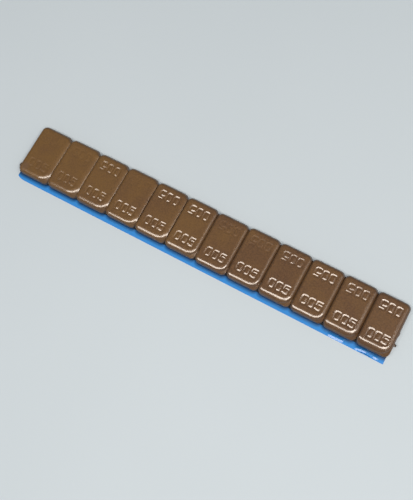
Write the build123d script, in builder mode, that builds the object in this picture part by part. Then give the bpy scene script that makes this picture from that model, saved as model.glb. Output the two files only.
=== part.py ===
import os

from build123d import *

os.makedirs("parts", exist_ok=True)

# Steel weights of five grams each, in a row along X
weight_count = 12
weight_width = 11.7  # along the strip
weight_length = 19.0  # across the strip
weight_height = 3.0
weight_gap = 0.1
last_weight_trim = 0.35  # the last weight is this much narrower, on its outer wall
plan_corner_radius = 1.8
top_edge_round = 1.2
least_flat = 0.1  # corner or wall that the top round leaves

# Weights that were laid off the line, across the strip
side_shifts = {1: -0.1, 2: 0.05, 4: 0.15, 5: 0.1, 7: -0.2}

# Burrs on the two outer end walls, where the row was snapped off
burr_height = 1.0
burr_above_base = 0.8
burr_taper = 12
burr_root = 0.5  # depth inside the wall from which a burr grows
first_burr_from_near_edge = 2.4
first_burr_width = 1.6
first_burr_reach = 0.9
last_burr_from_near_edge = 5.0
last_burr_width = 1.1
last_burr_reach = 0.8
last_bump_from_near_edge = 8.8
last_bump_width = 1.8
last_bump_reach = 0.25

# Foam tape under the weights
tape_thickness = 0.8
tape_inset = 0.5  # tape edge to weight edge, on both long sides

# Release film under the tape
liner_thickness = 0.1
liner_overhang = 1.9  # past the weights, on the near side

# How tape and film lie under the row
backing_short = 0.3  # both are this much shorter than the row
backing_slip = 0.5  # and lie this far toward the first weight

# Sizes that follow
pitch = weight_width + weight_gap
strip_length = weight_count * pitch - weight_gap
weight_base = liner_thickness + tape_thickness
top_round = min(top_edge_round, plan_corner_radius - least_flat, weight_height - least_flat)
backing_length = strip_length - backing_short
tape_width = weight_length - 2 * tape_inset
liner_far_edge = tape_width / 2
liner_near_edge = -weight_length / 2 - liner_overhang
liner_centre = (-backing_slip, (liner_far_edge + liner_near_edge) / 2)

# Burrs of each end weight: wall side, place from the near edge, width, reach
end_burrs = {
    1: [(-1, first_burr_from_near_edge, first_burr_width, first_burr_reach)],
    weight_count: [
        (1, last_burr_from_near_edge, last_burr_width, last_burr_reach),
        (1, last_bump_from_near_edge, last_bump_width, last_bump_reach),
    ],
}

# Weights: coined blocks with cushioned tops, seated on the tape
for number in range(1, weight_count + 1):
    trim = last_weight_trim if number == weight_count else 0.0
    width = weight_width - trim
    centre_x = (number - 1) * pitch - (strip_length - weight_width + trim) / 2
    centre_y = side_shifts.get(number, 0.0)
    with BuildPart() as weight:
        with BuildSketch(Plane(origin=(centre_x, centre_y, weight_base))):
            RectangleRounded(width, weight_length, plan_corner_radius)
        extrude(amount=weight_height)
        fillet(weight.faces().sort_by(Axis.Z)[-1].edges(), radius=top_round)
        for wall_side, from_near_edge, burr_width, reach in end_burrs.get(number, []):
            root = (
                centre_x + wall_side * (width / 2 - burr_root),
                centre_y - weight_length / 2 + from_near_edge,
                weight_base + burr_above_base + burr_height / 2,
            )
            with BuildSketch(Plane(origin=root, x_dir=(0, wall_side, 0), z_dir=(wall_side, 0, 0))):
                Rectangle(burr_width, burr_height)
            extrude(amount=burr_root + reach, taper=burr_taper)
    weight.part.label = f"weight_{number:02d}"
    export_step(weight.part, f"parts/{weight.part.label}.step")

# Foam tape: one strip that carries all the weights
with BuildPart() as foam_tape:
    with BuildSketch(Plane.XY.offset(liner_thickness)):
        with Locations((-backing_slip, 0)):
            Rectangle(backing_length, tape_width)
    extrude(amount=tape_thickness)
foam_tape.part.label = "foam_tape"
export_step(foam_tape.part, "parts/foam_tape.step")

# Release film: wider than the tape on the near side, for the thumb to peel
with BuildPart() as release_liner:
    with BuildSketch(Plane.XY):
        with Locations(liner_centre):
            Rectangle(backing_length, liner_far_edge - liner_near_edge)
    extrude(amount=liner_thickness)
release_liner.part.label = "release_liner"
export_step(release_liner.part, "parts/release_liner.step")
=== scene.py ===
import math

import bmesh
import bpy
from mathutils import Matrix, Vector, geometry


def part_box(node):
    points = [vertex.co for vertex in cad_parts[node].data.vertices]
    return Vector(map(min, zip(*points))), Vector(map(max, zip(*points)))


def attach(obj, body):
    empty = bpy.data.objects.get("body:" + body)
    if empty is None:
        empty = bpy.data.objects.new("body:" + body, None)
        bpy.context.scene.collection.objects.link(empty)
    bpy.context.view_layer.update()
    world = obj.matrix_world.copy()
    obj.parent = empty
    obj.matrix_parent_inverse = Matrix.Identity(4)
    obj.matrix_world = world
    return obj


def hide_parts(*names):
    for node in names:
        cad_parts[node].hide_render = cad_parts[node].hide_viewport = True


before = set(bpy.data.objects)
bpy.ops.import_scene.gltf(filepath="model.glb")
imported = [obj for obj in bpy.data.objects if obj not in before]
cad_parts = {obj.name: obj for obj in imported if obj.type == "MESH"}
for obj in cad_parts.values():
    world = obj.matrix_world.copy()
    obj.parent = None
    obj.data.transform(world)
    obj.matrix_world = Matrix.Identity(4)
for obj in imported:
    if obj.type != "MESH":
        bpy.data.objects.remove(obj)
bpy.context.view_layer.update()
mm = 0.001  # the frame is in metres
weightCount = sum(name.startswith("weight_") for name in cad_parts)
print("frame loaded:", weightCount, "weights, tape and liner")


def hexColour(text):
    # sRGB hex to the linear colour that a shader takes
    channels = [int(text[i:i + 2], 16) / 255 for i in (1, 3, 5)]
    linear = [c / 12.92 if c <= 0.04045 else ((c + 0.055) / 1.055) ** 2.4 for c in channels]
    return (*linear, 1.0)


def addNode(material, kind, settings=None, sockets=None):
    # one node with its settings; a socket takes a value or a link
    tree = material.node_tree
    node = tree.nodes.new(kind)
    for name, value in (settings or {}).items():
        setattr(node, name, value)
    for name, value in (sockets or {}).items():
        if isinstance(value, bpy.types.NodeSocket):
            tree.links.new(value, node.inputs[name])
        else:
            node.inputs[name].default_value = value
    return node


def newMaterial(name):
    material = bpy.data.materials.new(name)
    material.use_nodes = True
    material.node_tree.nodes.clear()
    return material


def perMetre(sizeInMm):
    # texture scale for features of this size
    return 1 / (sizeInMm * mm)


def seenShare(material):
    # 1 for what the eye sees directly, in a gloss or through a clear thing, 0 for light that falls on things
    path = addNode(material, "ShaderNodeLightPath").outputs
    mirrored = addNode(material, "ShaderNodeMath", {"operation": "MAXIMUM"},
                       {0: path["Is Glossy Ray"], 1: path["Is Transmission Ray"]})
    seen = addNode(material, "ShaderNodeMath", {"operation": "MAXIMUM"},
                   {0: path["Is Camera Ray"], 1: mirrored.outputs["Value"]})
    return seen.outputs["Value"]


# Bronze-brown powder coat with mica on coined steel, spray-coated and baked under a clear skin: a soft
# golden sheen on slopes that face the light, fine grain, sharp gloss over a faint orange-peel ripple,
# cloudy changes of tone, a drift from golden to redder along the row that is partly painted reflection,
# and painted shade on the walls and on slopes turned away from the light
coatLook = {
    "golden": "#745425",
    "reddish": "#67492D",
    "driftHalf": 70.0,  # from the middle of the row to where the drift has ended
    "cloudSize": 9.0,
    "cloudLimits": (0.35, 0.65),  # the part of the noise that counts; for peel and grain likewise
    "cloudShare": 0.5,  # of the drift
    "peelSize": 0.8,
    "peelLimits": (0.3, 0.7),
    "peelDepth": 0.0006,
    "grainSize": 0.5,  # real grain and flakes are finer: drawn this coarse so that they show
    "grainLimits": (0.35, 0.7),
    "grainTone": "#3A2614",
    "grainShare": (0.22, 0.5),  # from the first weight to the last
    "sheen": 0.18,  # share of the base that the mica turns metallic
    "sheenRoughness": 0.55,
    "flakeSize": 0.5,
    "flakeDepth": 0.008,
    "roughness": (0.24, 0.18),  # from the first weight to the last
    "roughnessSpread": 0.03,
    "paintedShadeTone": "#3A2614",  # painted shade: the walls are drawn darker; the coat there is also duller
    "paintedShadeShare": 0.55,
    "paintedShadeFacing": (0.6, 0.95),  # upward part of the normal, from the walls' painted shade to the top's tone
    "wallRoughness": 0.4,
    "dullFacing": (0.3, 0.93),  # the same, from the walls' gloss to the top's
    "paintedLightFrom": (0.0, -0.4, 0.92),  # painted shade: slopes turned away from the light from above and the near side are drawn darker too
    "paintedLightFacing": (0.5, 0.82),
    "awayShadeShare": 0.7,
    "glossIndex": 1.9,  # a clear skin has about 1.5: raised to match the strength of the highlights
    "spotCore": 0.3,  # share of a spot's size over which it is full
    "spots": (
        # scuffed or darkened places, from the middle of the row
        {"place": (-69.0, -7.2, 3.7), "size": 2.2, "colour": "#6A5A54", "share": 0.4},
        {"place": (-71.4, -7.1, 2.2), "size": 1.0, "colour": "#231C19", "share": 0.85},
        {"place": (71.2, -4.5, 2.2), "size": 1.3, "colour": "#1E1815", "share": 0.95},
    ),
}


def powderCoatBrown():
    look = coatLook
    material = newMaterial("powderCoatBrown")
    origin = addNode(material, "ShaderNodeTexCoord")
    place = origin.outputs["Object"]
    facing = addNode(material, "ShaderNodeSeparateXYZ", None, {"Vector": origin.outputs["Normal"]})
    alongRow = addNode(material, "ShaderNodeSeparateXYZ", None, {"Vector": place}).outputs["X"]

    # tone: the drift along the row, partly a painted reflection that greys the tops toward the last weight,
    # moved about by clouds
    cloud = addNode(material, "ShaderNodeTexNoise", None,
                    {"Vector": place, "Scale": perMetre(look["cloudSize"]), "Detail": 2.0}).outputs["Fac"]
    shift = addNode(material, "ShaderNodeMapRange", None,
                    {"Value": cloud,
                     "From Min": look["cloudLimits"][0], "From Max": look["cloudLimits"][1],
                     "To Min": -look["driftHalf"] * mm * look["cloudShare"],
                     "To Max": look["driftHalf"] * mm * look["cloudShare"]})
    shifted = addNode(material, "ShaderNodeMath", {"operation": "ADD"},
                      {0: alongRow, 1: shift.outputs["Result"]})
    tone = addNode(material, "ShaderNodeMapRange", None,
                   {"Value": shifted.outputs["Value"], "From Min": -look["driftHalf"] * mm,
                    "From Max": look["driftHalf"] * mm})
    skin = addNode(material, "ShaderNodeMix", {"data_type": "RGBA"},
                   {0: tone.outputs["Result"], 6: hexColour(look["golden"]), 7: hexColour(look["reddish"])})

    # dark grain, stronger toward the last weight
    grain = addNode(material, "ShaderNodeTexNoise", None,
                    {"Vector": place, "Scale": perMetre(look["grainSize"]), "Detail": 1.0})
    grainMost = addNode(material, "ShaderNodeMapRange", None,
                        {"Value": tone.outputs["Result"], "To Min": look["grainShare"][0],
                         "To Max": look["grainShare"][1]})
    grainShare = addNode(material, "ShaderNodeMapRange", None,
                         {"Value": grain.outputs["Fac"],
                          "From Min": look["grainLimits"][0], "From Max": look["grainLimits"][1],
                          "To Max": grainMost.outputs["Result"]})
    skin = addNode(material, "ShaderNodeMix", {"data_type": "RGBA"},
                   {0: grainShare.outputs["Result"], 6: skin.outputs[2], 7: hexColour(look["grainTone"])})

    # painted shade on the walls and on slopes turned away from the light from above and the near side
    paintedWallShade = addNode(material, "ShaderNodeMapRange", None,
                        {"Value": facing.outputs["Z"],
                         "From Min": look["paintedShadeFacing"][0], "From Max": look["paintedShadeFacing"][1],
                         "To Min": look["paintedShadeShare"], "To Max": 0.0})
    facingPaintedLight = addNode(material, "ShaderNodeVectorMath", {"operation": "DOT_PRODUCT"},
                      {0: origin.outputs["Normal"], 1: look["paintedLightFrom"]})
    paintedAwayShade = addNode(material, "ShaderNodeMapRange", None,
                         {"Value": facingPaintedLight.outputs["Value"],
                          "From Min": look["paintedLightFacing"][0], "From Max": look["paintedLightFacing"][1],
                          "To Min": look["awayShadeShare"], "To Max": 0.0})
    paintedShadeMask = addNode(material, "ShaderNodeMath", {"operation": "MAXIMUM"},
                      {0: paintedWallShade.outputs["Result"], 1: paintedAwayShade.outputs["Result"]})
    skin = addNode(material, "ShaderNodeMix", {"data_type": "RGBA"},
                   {0: paintedShadeMask.outputs["Value"], 6: skin.outputs[2], 7: hexColour(look["paintedShadeTone"])})

    # scuffs and dark spots, which wear the clear skin away
    clearSkin = 1.0
    for spot in look["spots"]:
        away = addNode(material, "ShaderNodeVectorMath", {"operation": "DISTANCE"},
                       {0: place, 1: Vector(spot["place"]) * mm})
        share = addNode(material, "ShaderNodeMapRange", None,
                        {"Value": away.outputs["Value"], "From Min": spot["size"] * mm,
                         "From Max": spot["size"] * mm * look["spotCore"], "To Max": spot["share"]})
        skin = addNode(material, "ShaderNodeMix", {"data_type": "RGBA"},
                       {0: share.outputs["Result"], 6: skin.outputs[2], 7: hexColour(spot["colour"])})
        unworn = addNode(material, "ShaderNodeMath", {"operation": "SUBTRACT"},
                         {0: 1.0, 1: share.outputs["Result"]})
        clearSkin = addNode(material, "ShaderNodeMath", {"operation": "MULTIPLY"},
                            {0: clearSkin, 1: unworn.outputs["Value"]}).outputs["Value"]

    # gloss: sharper toward the last weight, uneven with the orange peel, dull on the walls
    peel = addNode(material, "ShaderNodeTexNoise", None,
                   {"Vector": place, "Scale": perMetre(look["peelSize"]), "Detail": 3.0})
    gloss = addNode(material, "ShaderNodeMapRange", None,
                    {"Value": tone.outputs["Result"], "To Min": look["roughness"][0],
                     "To Max": look["roughness"][1]})
    unevenness = addNode(material, "ShaderNodeMapRange", None,
                         {"Value": peel.outputs["Fac"],
                          "From Min": look["peelLimits"][0], "From Max": look["peelLimits"][1],
                          "To Min": -look["roughnessSpread"], "To Max": look["roughnessSpread"]})
    uneven = addNode(material, "ShaderNodeMath", {"operation": "ADD"},
                     {0: gloss.outputs["Result"], 1: unevenness.outputs["Result"]})
    dulling = addNode(material, "ShaderNodeMapRange", None,
                      {"Value": facing.outputs["Z"],
                       "From Min": look["dullFacing"][0], "From Max": look["dullFacing"][1],
                       "To Min": look["wallRoughness"], "To Max": 0.0})
    dulled = addNode(material, "ShaderNodeMath", {"operation": "ADD"},
                     {0: uneven.outputs["Value"], 1: dulling.outputs["Result"]})

    # the clear skin ripples, and the mica flakes below it lie unevenly
    ripple = addNode(material, "ShaderNodeBump", None,
                     {"Height": peel.outputs["Fac"], "Distance": look["peelDepth"] * mm, "Strength": 1.0})
    flake = addNode(material, "ShaderNodeTexNoise", None,
                    {"Vector": place, "Scale": perMetre(look["flakeSize"]), "Detail": 2.0})
    flakes = addNode(material, "ShaderNodeBump", None,
                     {"Height": flake.outputs["Fac"], "Distance": look["flakeDepth"] * mm, "Strength": 1.0})
    shader = addNode(material, "ShaderNodeBsdfPrincipled", None,
                     {"Base Color": skin.outputs[2], "Metallic": look["sheen"],
                      "Roughness": look["sheenRoughness"], "Specular IOR Level": 0.0,
                      "Normal": flakes.outputs["Normal"], "Coat Weight": clearSkin,
                      "Coat Roughness": dulled.outputs["Value"], "Coat IOR": look["glossIndex"],
                      "Coat Normal": ripple.outputs["Normal"]})
    addNode(material, "ShaderNodeOutputMaterial", None, {"Surface": shader.outputs["BSDF"]})
    return material


# Polyethylene release film, blown, tinted through and slit from a roll: smooth and glossy,
# with faint draw lines along its length; painted shade darkens it close to the weights
filmLook = {
    "blue": "#2B84D8",
    "paleBlue": "#3B95E8",
    "drawLength": 14.0,
    "drawSpacing": 0.5,
    "drawDepth": 0.0004,
    "drawStrength": 0.6,
    "shadedBlue": "#11406F",
    "roughness": 0.25,
    "index": 1.6,  # polyethylene has about 1.5: raised to match the glints
}


def blueReleaseFilm():
    look = filmLook
    material = newMaterial("blueReleaseFilm")
    place = addNode(material, "ShaderNodeTexCoord").outputs["Object"]
    stretched = addNode(material, "ShaderNodeMapping", None,
                        {"Vector": place,
                         "Scale": (perMetre(look["drawLength"]), perMetre(look["drawSpacing"]), 1.0)})
    draw = addNode(material, "ShaderNodeTexNoise", None,
                   {"Vector": stretched.outputs["Vector"], "Scale": 1.0, "Detail": 2.0})
    tint = addNode(material, "ShaderNodeMix", {"data_type": "RGBA"},
                   {0: draw.outputs["Fac"], 6: hexColour(look["blue"]), 7: hexColour(look["paleBlue"])})
    # painted shade: the film's blue is drawn darker close to the weights
    clear = addNode(material, "ShaderNodeAttribute", {"attribute_name": "clearOfWeights"}).outputs["Fac"]
    skin = addNode(material, "ShaderNodeMix", {"data_type": "RGBA"},
                   {0: clear, 6: hexColour(look["shadedBlue"]), 7: tint.outputs[2]})
    lines = addNode(material, "ShaderNodeBump", None,
                    {"Height": draw.outputs["Fac"], "Distance": look["drawDepth"] * mm,
                     "Strength": look["drawStrength"]})
    shader = addNode(material, "ShaderNodeBsdfPrincipled", None,
                     {"Base Color": skin.outputs[2], "Roughness": look["roughness"],
                      "IOR": look["index"], "Normal": lines.outputs["Normal"]})
    addNode(material, "ShaderNodeOutputMaterial", None, {"Surface": shader.outputs["BSDF"]})
    return material


# Closed-cell polyethylene foam, slit with a knife: dull, near black, pitted where cells are cut open
foamLook = {"dark": "#1B1C1E", "light": "#2C2E31", "cellSize": 0.25, "pitDepth": 0.05, "roughness": 0.85}


def slitFoam():
    look = foamLook
    material = newMaterial("slitFoam")
    place = addNode(material, "ShaderNodeTexCoord").outputs["Object"]
    cells = addNode(material, "ShaderNodeTexVoronoi", None,
                    {"Vector": place, "Scale": perMetre(look["cellSize"])})
    tint = addNode(material, "ShaderNodeMix", {"data_type": "RGBA"},
                   {0: cells.outputs["Distance"], 6: hexColour(look["dark"]), 7: hexColour(look["light"])})
    pits = addNode(material, "ShaderNodeBump", None,
                   {"Height": cells.outputs["Distance"], "Distance": look["pitDepth"] * mm, "Strength": 1.0})
    shader = addNode(material, "ShaderNodeBsdfPrincipled", None,
                     {"Base Color": tint.outputs[2], "Roughness": look["roughness"],
                      "Normal": pits.outputs["Normal"]})
    addNode(material, "ShaderNodeOutputMaterial", None, {"Surface": shader.outputs["BSDF"]})
    return material


# Painted board under the object, rolled on: pale, matt, slightly mottled, running into a backdrop far off
boardLook = {
    "dark": "#C2D0DB",
    "light": "#C7D5E0",
    "mottleSize": 90.0,
    "roughness": 0.8,
    "backdrop": "#CCD3DA",
    "fadeStart": 150.0,  # from the middle of the row, in mm
    "fadeEnd": 420.0,
}


def paleBoard():
    look = boardLook
    material = newMaterial("paleBoard")
    place = addNode(material, "ShaderNodeTexCoord").outputs["Object"]
    mottle = addNode(material, "ShaderNodeTexNoise", None,
                     {"Vector": place, "Scale": perMetre(look["mottleSize"]), "Detail": 2.0})
    tint = addNode(material, "ShaderNodeMix", {"data_type": "RGBA"},
                   {0: mottle.outputs["Fac"], 6: hexColour(look["dark"]), 7: hexColour(look["light"])})
    shader = addNode(material, "ShaderNodeBsdfPrincipled", None,
                     {"Base Color": tint.outputs[2], "Roughness": look["roughness"]})
    away = addNode(material, "ShaderNodeVectorMath", {"operation": "LENGTH"}, {0: place})
    fading = addNode(material, "ShaderNodeMapRange", {"interpolation_type": "SMOOTHSTEP"},
                     {"Value": away.outputs["Value"], "From Min": look["fadeStart"] * mm,
                      "From Max": look["fadeEnd"] * mm})
    share = addNode(material, "ShaderNodeMath", {"operation": "MULTIPLY"},
                    {0: fading.outputs["Result"], 1: seenShare(material)})
    backdrop = addNode(material, "ShaderNodeEmission", None, {"Color": hexColour(look["backdrop"])})
    surface = addNode(material, "ShaderNodeMixShader", None,
                      {0: share.outputs["Value"], 1: shader.outputs["BSDF"], 2: backdrop.outputs["Emission"]})
    addNode(material, "ShaderNodeOutputMaterial", None, {"Surface": surface.outputs["Shader"]})
    return material


def finishPiece(bm, name, material, nodeName):
    # the mesh keeps its place, and its object stays at the origin
    mesh = bpy.data.meshes.new(name)
    bm.to_mesh(mesh)
    bm.free()
    mesh.shade_smooth()
    mesh.materials.append(material)
    piece = bpy.data.objects.new(name, mesh)
    bpy.context.scene.collection.objects.link(piece)
    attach(piece, "root")
    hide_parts(nodeName)
    return piece


# Stamped figures: the plain gram number, punched near both ends of every weight
figureLook = {
    "digits": "005",
    "height": 2.8,  # of the stroke's middle line
    "width": 1.75,
    "spacing": 2.6,
    "squareness": 0.5,  # of the rounds: 1 is an oval, less is squarer
    "zeroSteps": 28,
    # the five, in a box one high and one wide: its bar from left to right, and its bowl from the bar down
    "barEnds": (-0.36, 0.46),
    "bowl": {"centre": (-0.02, -0.17), "radii": (0.52, 0.33), "angles": (138, -145), "steps": 18},
    "floorHalf": 0.06,  # half the flat floor of a stroke
    "wallHalf": 0.55,  # half the stroke at the top face
    "depth": 0.15,
    "nearPlace": -4.9,  # middle of the figure, from the middle of the weight
    "farPlace": 5.4,
    "gridMargin": 0.05,
    "gridCuts": 43,
}


def ovalPoints(centre, radii, angles, steps):
    # points along part of a squarish oval, between two angles in degrees
    startAngle, endAngle = angles
    points = []
    for step in range(steps + 1):
        angle = math.radians(startAngle + (endAngle - startAngle) * step / steps)
        across = math.copysign(abs(math.cos(angle)) ** figureLook["squareness"], math.cos(angle))
        up = math.copysign(abs(math.sin(angle)) ** figureLook["squareness"], math.sin(angle))
        points.append((centre[0] + radii[0] * across, centre[1] + radii[1] * up))
    return points


def digitPath(digit):
    # middle line of one digit, in a box one high and one wide
    look = figureLook
    boxHalf = 0.5
    if digit == "0":
        return ovalPoints((0, 0), (boxHalf, boxHalf), (0, 360), look["zeroSteps"])
    left, right = look["barEnds"]
    bowl = look["bowl"]
    bowlLine = ovalPoints(bowl["centre"], bowl["radii"], bowl["angles"], bowl["steps"])
    return [(right, boxHalf), (left, boxHalf), *bowlLine]


def figureStrokes():
    # straight runs of all the digits, about the middle of the figure, in mm
    look = figureLook
    runs = []
    for index, digit in enumerate(look["digits"]):
        shift = (index - (len(look["digits"]) - 1) / 2) * look["spacing"]
        points = [Vector((x * look["width"] + shift, y * look["height"], 0)) for x, y in digitPath(digit)]
        runs.extend(zip(points, points[1:]))
    return runs


strokeRuns = figureStrokes()
figureReach = figureLook["height"] / 2 + figureLook["wallHalf"] + figureLook["gridMargin"]
stampCache = {}


def stampShare(x, y):
    # 1 on the floor of a stroke, 0 on the untouched top face
    key = (round(x, 3), round(y, 3))
    if key not in stampCache:
        point = Vector((x, y, 0))
        nearest = figureLook["wallHalf"]
        for start, end in strokeRuns:
            share = geometry.intersect_point_line(point, start, end)[1]
            closest = start.lerp(end, min(max(share, 0.0), 1.0))
            nearest = min(nearest, (point - closest).length)
        climb = (nearest - figureLook["floorHalf"]) / (figureLook["wallHalf"] - figureLook["floorHalf"])
        stampCache[key] = 1 - min(max(climb, 0.0), 1.0)
    return stampCache[key]


# Weights: cushion tops, with the punch and the fullness of the edges set weight by weight
weightLook = {
    "planCorner": 1.8,  # as on the solids, and so are the burrs' places and sizes
    "ringReach": 1.7,  # how far in from the walls the rings of faces go
    # each crown: how far in from the wall the top falls away, its radius,
    # and the sine of the slope at which it goes on straight
    "leftCrown": (1.0, 2.0, 0.7),
    "farCrown": (1.5, 2.1, 0.7),
    # the first weights have softer crowns than the others; turn is the corner radius of the flat's outline
    "softWeights": 5,
    "softCrown": {"rightReach": 1.7, "rightSlope": 0.7, "rightDrop": 0.0,
                  "nearRadius": 3.1, "nearSlope": 0.7, "turn": 2.2, "cuts": 8},
    "creasedCrown": {"rightReach": 1.5, "rightSlope": 0.46, "rightDrop": 0.21,
                     "nearRadius": 2.9, "nearSlope": 0.55, "turn": 2.8, "cuts": 6},
    # weight by weight: radius of the right crown, and how far in the near crown reaches
    "rightRadius": (3.9, 4.0, 4.3, 4.7, 5.0, 2.0, 2.0, 2.0, 2.0, 2.0, 2.0, 2.0),
    "nearReach": (1.8, 1.8, 1.9, 1.6, 1.8, 1.85, 1.65, 1.75, 2.15, 1.7, 2.4, 2.55),
    "otherTurns": 0.6,  # turn of the other three corners
    "takeover": 5.0,  # how early, going round a corner, the end's radius takes over from the side's
    "edgeBreak": 0.55,  # the top of the wall is broken over this width
    "edgeDrop": 0.22,
    # the drop on the left walls, weight by weight
    "leftDrop": (0.06, 0.06, 0.06, 0.1, 0.2, 0.22, 0.2, 0.2, 0.22, 0.22, 0.22, 0.22),
    "baseRound": 0.25,
    "cornerSegments": 10,
    "crownSegments": 20,
    "baseSegments": 3,
    "firstCut": 2.0,  # cuts from the walls inward let the crown turn at its corners
    "cutStep": 0.3,
    "leastWall": 0.7,  # of each wall stays upright above the base
    # share of the full depth to which each figure is punched
    "nearPunch": (0.5, 0.65, 0.85, 0.9, 0.9, 0.95, 0.85, 0.9, 0.9, 0.95, 0.9, 0.95),
    "farPunch": (0.2, 0.3, 0.85, 0.2, 0.95, 0.95, 0.45, 0.5, 0.78, 0.95, 0.78, 0.95),
    "burrs": {
        1: ({"side": -1, "fromNear": 2.4, "width": 1.6, "reach": 0.9, "skew": 0.15},),
        12: ({"side": 1, "fromNear": 5.0, "width": 1.1, "reach": 0.8, "skew": -0.1},
             {"side": 1, "fromNear": 8.8, "width": 1.8, "reach": 0.25, "skew": 0.0}),
    },
    "burrRoot": 0.5,
    "burrHeight": 1.0,
    "burrAboveBase": 0.8,
    "burrTip": 0.7,  # size of a burr's tip against its root
    "burrRound": 0.14,
    "burrSegments": 3,
}
hair = 1e-4  # in mm, for telling which vertices lie on a plane
snap = hair / 10  # how near to a cut a vertex counts as lying on it


def cutFaces(bm, faces, place, direction):
    # one straight cut across these faces alone
    geom = {*faces, *(e for f in faces for e in f.edges), *(v for f in faces for v in f.verts)}
    bmesh.ops.bisect_plane(bm, geom=list(geom), plane_co=place, plane_no=direction, dist=snap)


def topFaces(bm, height):
    return [f for f in bm.faces if min(v.co.z for v in f.verts) > height - hair]


def crownFaces(bm, height):
    foot = height - weightLook["ringReach"] - hair
    return [f for f in bm.faces if foot < min(v.co.z for v in f.verts) < height - hair]


def crownStyle(number):
    return weightLook["softCrown" if number <= weightLook["softWeights"] else "creasedCrown"]


def weightBlock(half, height, number):
    # block with rounded corners and rings of faces round its top, about the middle of its base, in mm
    look = weightLook
    bm = bmesh.new()
    bmesh.ops.create_cube(bm, size=1.0)
    bmesh.ops.scale(bm, vec=(2 * half.x, 2 * half.y, height), verts=bm.verts)
    bmesh.ops.translate(bm, vec=(0, 0, height / 2), verts=bm.verts)
    uprights = [e for e in bm.edges if abs(e.verts[0].co.z - e.verts[1].co.z) > height / 2]
    bmesh.ops.bevel(bm, geom=uprights, offset=look["planCorner"], affect="EDGES",
                    segments=look["cornerSegments"], profile=0.5, material=-1)
    top = max(bm.faces, key=lambda f: f.calc_center_median().z)
    base = min(bm.faces, key=lambda f: f.calc_center_median().z)
    for face, offset, segments in ((top, look["ringReach"], look["crownSegments"]),
                                   (base, look["baseRound"], look["baseSegments"])):
        bmesh.ops.bevel(bm, geom=list(face.edges), offset=offset, affect="EDGES",
                        segments=segments, profile=0.5, material=-1)
    for cut in range(crownStyle(number)["cuts"]):
        inward = look["firstCut"] + cut * look["cutStep"]
        for side in (-1, 1):
            cutFaces(bm, crownFaces(bm, height), (side * (half.x - inward), 0, 0), (1, 0, 0))
            cutFaces(bm, crownFaces(bm, height), (0, side * (half.y - inward), 0), (0, 1, 0))
    return bm


def gridTop(bm, half, height):
    # a fine grid on the top, from each figure to the edge beyond it
    look = figureLook
    margin = weightLook["ringReach"] + look["gridMargin"]
    endX = half.x - margin
    endY = half.y - margin
    spans = ((-endY, look["nearPlace"] + figureReach), (look["farPlace"] - figureReach, endY))
    for x in (-endX, 0, endX):
        cutFaces(bm, topFaces(bm, height), (x, 0, 0), (1, 0, 0))
    for y in (*spans[0], *spans[1]):
        cutFaces(bm, topFaces(bm, height), (0, y, 0), (0, 1, 0))
    for low, high in spans:
        patch = [f for f in topFaces(bm, height)
                 if abs(f.calc_center_median().x) < endX and low < f.calc_center_median().y < high]
        bmesh.ops.subdivide_edges(bm, edges=list({e for f in patch for e in f.edges}),
                                  cuts=look["gridCuts"], use_grid_fill=True)


def crownFall(x, y, half, number):
    # how far the cushioned top lies below its flat, whose outline turns wide at the corners
    look = weightLook
    style = crownStyle(number)
    nearCrown = (look["nearReach"][number - 1], style["nearRadius"], style["nearSlope"])
    endReach, endRadius, endSlope = nearCrown if y < 0 else look["farCrown"]
    rightCrown = (style["rightReach"], look["rightRadius"][number - 1], style["rightSlope"])
    sideReach, sideRadius, sideSlope = rightCrown if x > 0 else look["leftCrown"]
    turn = style["turn"] if x > 0 and y < 0 else look["otherTurns"]
    beyondX = max(abs(x) - half.x + sideReach + turn, 0.0)
    beyondY = max(abs(y) - half.y + endReach + turn, 0.0)
    beyond = max(math.hypot(beyondX, beyondY), hair)
    endShare = (beyondY / beyond) ** 2
    reach = sideReach + (endReach - sideReach) * endShare
    radius = sideRadius + (endRadius - sideRadius) * min(endShare * look["takeover"], 1.0)
    slope = sideSlope + (endSlope - sideSlope) * endShare
    into = max(beyond - turn, 0.0)
    curved = min(into, slope * radius)
    upright = math.sqrt(radius ** 2 - curved ** 2)
    fall = radius - upright + (into - curved) * curved / upright
    broken = min(max(1 - (reach - into) / look["edgeBreak"], 0.0), 1.0)
    sideDrop = style["rightDrop"] if x > 0 else look["leftDrop"][number - 1]
    drop = sideDrop + (look["edgeDrop"] - sideDrop) * endShare
    return fall + drop * broken ** 2


def shapeTop(bm, half, height, number):
    # presses the crown and the figures into the top
    look = weightLook
    foot = height - look["ringReach"] - hair
    punches = ((figureLook["nearPlace"], 1, look["nearPunch"][number - 1]),
               (figureLook["farPlace"], -1, look["farPunch"][number - 1]))
    for v in bm.verts:
        if v.co.z > foot:
            onTop = v.co.z > height - hair
            v.co.z = max(height - crownFall(v.co.x, v.co.y, half, number), look["leastWall"])
            for middle, facing, punch in punches:
                if onTop and abs(v.co.y - middle) < figureReach:
                    share = stampShare(facing * v.co.x, facing * (v.co.y - middle))
                    v.co.z -= punch * figureLook["depth"] * share


def addBurr(bm, burr, half):
    # a snapped stub on an end wall, thinner toward its tip
    look = weightLook
    depth = look["burrRoot"] + burr["reach"]
    stub = bmesh.ops.create_cube(bm, size=1.0)["verts"]
    bmesh.ops.scale(bm, vec=(burr["side"] * depth, burr["width"], look["burrHeight"]), verts=stub)
    for v in stub:
        if v.co.x * burr["side"] > 0:
            v.co.y = v.co.y * look["burrTip"] + burr["skew"]
            v.co.z *= look["burrTip"]
    bmesh.ops.translate(bm, verts=stub, vec=(burr["side"] * (half.x + burr["reach"] - depth / 2),
                                             burr["fromNear"] - half.y,
                                             look["burrAboveBase"] + look["burrHeight"] / 2))
    stubFaces = list({f for v in stub for f in v.link_faces})
    if burr["side"] < 0:
        bmesh.ops.reverse_faces(bm, faces=stubFaces)
    bmesh.ops.bevel(bm, geom=list({e for f in stubFaces for e in f.edges}), offset=look["burrRound"],
                    affect="EDGES", segments=look["burrSegments"], profile=0.5, material=-1)


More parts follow.
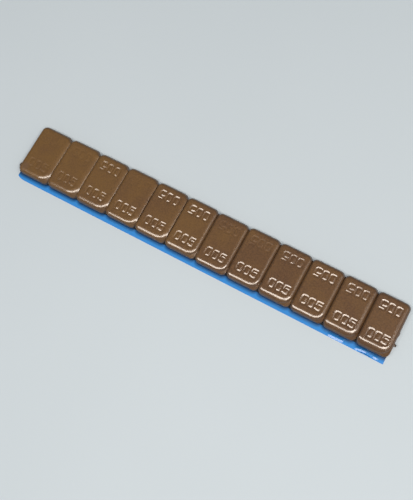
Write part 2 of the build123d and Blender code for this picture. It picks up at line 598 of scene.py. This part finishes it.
def makeWeight(number, material):
    look = weightLook
    nodeName = f"weight_{number:02d}"
    low, high = (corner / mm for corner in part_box(nodeName))
    burrs = look["burrs"].get(number, ())
    leftWall = low.x + max((burr["reach"] for burr in burrs if burr["side"] < 0), default=0.0)
    rightWall = high.x - max((burr["reach"] for burr in burrs if burr["side"] > 0), default=0.0)
    half = Vector((rightWall - leftWall, high.y - low.y)) / 2
    height = high.z - low.z
    bm = weightBlock(half, height, number)
    gridTop(bm, half, height)
    shapeTop(bm, half, height, number)
    for burr in burrs:
        addBurr(bm, burr, half)
    bmesh.ops.translate(bm, vec=((leftWall + rightWall) / 2, (low.y + high.y) / 2, low.z), verts=bm.verts)
    bmesh.ops.scale(bm, vec=(mm, mm, mm), verts=bm.verts)
    bm.normal_update()
    piece = finishPiece(bm, f"coatedWeight{number:02d}", material, nodeName)
    weighted = piece.modifiers.new("flatTops", "WEIGHTED_NORMAL")
    weighted.keep_sharp = True


coat = powderCoatBrown()
for weightNumber in range(1, weightCount + 1):
    makeWeight(weightNumber, coat)
print("weights made")

# Release film: flat under the tape, its free near edge cut round at one end and wrinkled at the other
linerLook = {
    "columns": 600,
    "flangeRows": 60,
    "cutRun": 3.8,  # the near corner by the first weight is cut round over this length
    "cutDepth": 0.85,
    "cutBend": 3,  # power of the cut's curve
    "shadeReach": 1.2,  # painted shade darkens the film this close to the weights
    "foldRise": 0.9,  # inward of its ridge a fold comes down over this width
    "foldEnds": 0.1,  # share of a fold's length over which it swells up
    "folds": (
        # ridge: how far in from the edge it runs, at its start, middle and end
        # sag: share of the lift that is missing between the two places given, as shares of the length
        {"start": 50.2, "end": 55.8, "ridge": (0.75, 0.8, 0.92), "drop": 0.68, "lift": 0.18, "curl": 0.0,
         "sag": 0.0, "sagging": (0.0, 1.0)},
        {"start": 59.7, "end": 68.0, "ridge": (0.68, 1.15, 0.72), "drop": 0.62, "lift": 0.165, "curl": 0.55,
         "sag": 0.8, "sagging": (0.4, 0.86)},
    ),
    "curlInset": 0.4,  # the edge curls up in full from this share of a fold's length inward
}


def smooth(share):
    share = min(max(share, 0.0), 1.0)
    return share * share * (3 - 2 * share)


def foldLift(x, inward):
    # lift of the film's free edge, inward going from its near edge to the tape, in mm
    look = linerLook
    lift = 0.0
    for fold in look["folds"]:
        along = (x - fold["start"]) / (fold["end"] - fold["start"])
        if not 0 < along < 1:
            continue
        swell = smooth(min(along, 1 - along) / look["foldEnds"])
        sagStart, sagEnd = fold["sagging"]
        swell *= 1 - fold["sag"] * smooth(min(along - sagStart, sagEnd - along) / look["foldEnds"])
        # the ridge runs on a curve through its three places
        start, middle, end = fold["ridge"]
        ridge = (start * (1 - along) * (1 - 2 * along) + middle * 4 * along * (1 - along)
                 + end * along * (2 * along - 1))
        valley = ridge - fold["drop"]
        if inward > ridge:
            lift += fold["lift"] * swell * (1 - smooth((inward - ridge) / look["foldRise"]))
        elif inward > valley:
            lift += fold["lift"] * swell * (inward - valley) / fold["drop"]
        else:
            curling = smooth((min(along, 1 - along) - look["curlInset"] / 2) / (look["curlInset"] / 2))
            lift += fold["curl"] * curling * (valley - inward) / valley
    return lift


def clearOfWeights(x, y, boxes):
    # 0 at the foot of a weight, 1 where the film lies clear of them all
    corner = weightLook["planCorner"]
    nearest = linerLook["shadeReach"]
    for low, high in boxes:
        beyondX = abs(x - (low.x + high.x) / 2) - (high.x - low.x) / 2 + corner
        beyondY = abs(y - (low.y + high.y) / 2) - (high.y - low.y) / 2 + corner
        nearest = min(nearest, math.hypot(max(beyondX, 0.0), max(beyondY, 0.0)) - corner)
    return max(nearest, 0.0) / linerLook["shadeReach"]


def makeLiner(material):
    look = linerLook
    low, high = (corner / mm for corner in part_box("release_liner"))
    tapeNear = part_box("foam_tape")[0].y / mm
    boxes = [[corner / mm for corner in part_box(f"weight_{number:02d}")]
             for number in range(1, weightCount + 1)]
    bm = bmesh.new()
    corners = [bm.verts.new(p) for p in ((low.x, low.y, low.z), (high.x, low.y, low.z),
                                         (high.x, high.y, low.z), (low.x, high.y, low.z))]
    bm.faces.new(corners)
    cutFaces(bm, list(bm.faces), (0, tapeNear, 0), (0, 1, 0))
    across = [e for e in bm.edges if abs(e.verts[0].co.x - e.verts[1].co.x) < hair
              and max(v.co.y for v in e.verts) < tapeNear + hair]
    bmesh.ops.subdivide_edges(bm, edges=across, cuts=look["flangeRows"], use_grid_fill=True)
    along = [e for e in bm.edges if abs(e.verts[0].co.y - e.verts[1].co.y) < hair]
    bmesh.ops.subdivide_edges(bm, edges=along, cuts=look["columns"], use_grid_fill=True)
    clear = bm.verts.layers.float.new("clearOfWeights")
    for v in bm.verts:
        outward = (tapeNear - v.co.y) / (tapeNear - low.y)
        if outward > 0:
            v.co.z += foldLift(v.co.x, v.co.y - low.y)
            ahead = max(1 - (v.co.x - low.x) / look["cutRun"], 0.0)
            v.co.y += outward * look["cutDepth"] * ahead ** look["cutBend"]
        v[clear] = clearOfWeights(v.co.x, v.co.y, boxes)
    bmesh.ops.scale(bm, vec=(mm, mm, mm), verts=bm.verts)
    bm.normal_update()
    piece = finishPiece(bm, "linerFilm", material, "release_liner")
    skin = piece.modifiers.new("filmThickness", "SOLIDIFY")
    skin.thickness = (high.z - low.z) * mm
    skin.offset = 1.0


makeLiner(blueReleaseFilm())
print("liner made")

# Foam tape: its solid has the right form, and gets the foam's look
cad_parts["foam_tape"].material_slots[0].material = slitFoam()
print("tape dressed")


# Floor, light and camera
stageLook = {
    "floorHalf": 2000.0,
    "floorDrop": 0.02,
    "sky": "#7C7C7C",
    "backdropTop": (0.1, 0.3),  # sines of the heights between which the backdrop runs into the sky
    "dimSky": "#404040",  # what the gloss mirrors of the room's left side
    "dimSide": (-0.9, -0.6),  # X of the directions between which it runs into the sky
    "lampColour": "#FFF5EA",
    "lamps": {
        "nearStrip": {"from": (0.09, -0.30, 0.92), "distance": 710.0,
                      "size": (740.0, 190.0), "watts": 3.9},
        "cornerPanel": {"from": (0.435, -0.03, 0.90), "distance": 750.0,
                        "size": (220.0, 240.0), "watts": 1.5},
        "rightFill": {"from": (0.66, 0.20, 0.72), "distance": 750.0,
                      "size": (300.0, 450.0), "watts": 0.26},
    },
}


def makeStage():
    look = stageLook
    bm = bmesh.new()
    bmesh.ops.create_grid(bm, x_segments=1, y_segments=1, size=look["floorHalf"] * mm)
    bmesh.ops.translate(bm, vec=(0, 0, -look["floorDrop"] * mm), verts=bm.verts)
    mesh = bpy.data.meshes.new("floor")
    bm.to_mesh(mesh)
    bm.free()
    mesh.materials.append(paleBoard())
    floor = bpy.data.objects.new("floor", mesh)
    bpy.context.scene.collection.objects.link(floor)

    world = bpy.data.worlds.new("softRoom")
    world.use_nodes = True
    world.node_tree.nodes.clear()
    sky = hexColour(look["sky"])
    direction = addNode(world, "ShaderNodeTexCoord").outputs["Object"]
    pointing = addNode(world, "ShaderNodeSeparateXYZ", None, {"Vector": direction}).outputs
    lit = addNode(world, "ShaderNodeMapRange", None,
                  {"Value": pointing["X"],
                   "From Min": look["dimSide"][0], "From Max": look["dimSide"][1]})
    mirroredSky = addNode(world, "ShaderNodeMix", {"data_type": "RGBA"},
                          {0: lit.outputs["Result"], 6: hexColour(look["dimSky"]), 7: sky})
    above = addNode(world, "ShaderNodeMapRange", None,
                    {"Value": pointing["Z"],
                     "From Min": look["backdropTop"][0], "From Max": look["backdropTop"][1]})
    backdrop = addNode(world, "ShaderNodeMix", {"data_type": "RGBA"},
                       {0: above.outputs["Result"], 6: hexColour(boardLook["backdrop"]),
                        7: mirroredSky.outputs[2]})
    seen = addNode(world, "ShaderNodeMix", {"data_type": "RGBA"},
                   {0: seenShare(world), 6: sky, 7: backdrop.outputs[2]})
    room = addNode(world, "ShaderNodeBackground", None, {"Color": seen.outputs[2]})
    addNode(world, "ShaderNodeOutputWorld", None, {"Surface": room.outputs["Background"]})
    bpy.context.scene.world = world

    for name, lampLook in look["lamps"].items():
        lamp = bpy.data.lights.new(name, "AREA")
        lamp.shape = "RECTANGLE"
        lamp.size = lampLook["size"][0] * mm
        lamp.size_y = lampLook["size"][1] * mm
        lamp.energy = lampLook["watts"]
        lamp.color = hexColour(look["lampColour"])[:3]
        lampObject = bpy.data.objects.new(name, lamp)
        towards = Vector(lampLook["from"]).normalized()
        aim = Matrix.Rotation(math.asin(towards.x), 4, "Y")  # leans along the row first, then across it
        lean = Matrix.Rotation(math.atan2(-towards.y, towards.z), 4, "X")
        lampObject.matrix_world = Matrix.Translation(towards * lampLook["distance"] * mm) @ lean @ aim
        bpy.context.scene.collection.objects.link(lampObject)


# Viewpoint of the photograph, fitted to the gaps and edges of the row
cameraLook = {
    "azimuth": 40.56,
    "elevation": 73.57,
    "roll": -12.55,
    "distance": 248.0,
    "target": (1.70, -3.96, 0.0),
    "focalPixels": 729.8,
    "imagePixels": 500,  # the longer side of the 413 by 500 picture
    "clipStart": 10.0,
}


def makeCamera():
    look = cameraLook
    camera = bpy.data.cameras.new("photoCamera")
    camera.lens = look["focalPixels"] / look["imagePixels"] * camera.sensor_width
    camera.clip_start = look["clipStart"] * mm
    cameraObject = bpy.data.objects.new("photoCamera", camera)
    cameraObject.matrix_world = (Matrix.Translation(Vector(look["target"]) * mm)
                                 @ Matrix.Rotation(math.radians(look["azimuth"]), 4, "Z")
                                 @ Matrix.Rotation(math.radians(90 - look["elevation"]), 4, "X")
                                 @ Matrix.Rotation(math.radians(look["roll"]), 4, "Z")
                                 @ Matrix.Translation((0, 0, look["distance"] * mm)))
    bpy.context.scene.collection.objects.link(cameraObject)
    bpy.context.scene.camera = cameraObject


makeStage()
makeCamera()
bpy.context.scene.view_settings.view_transform = "Standard"
print("stage and camera set")
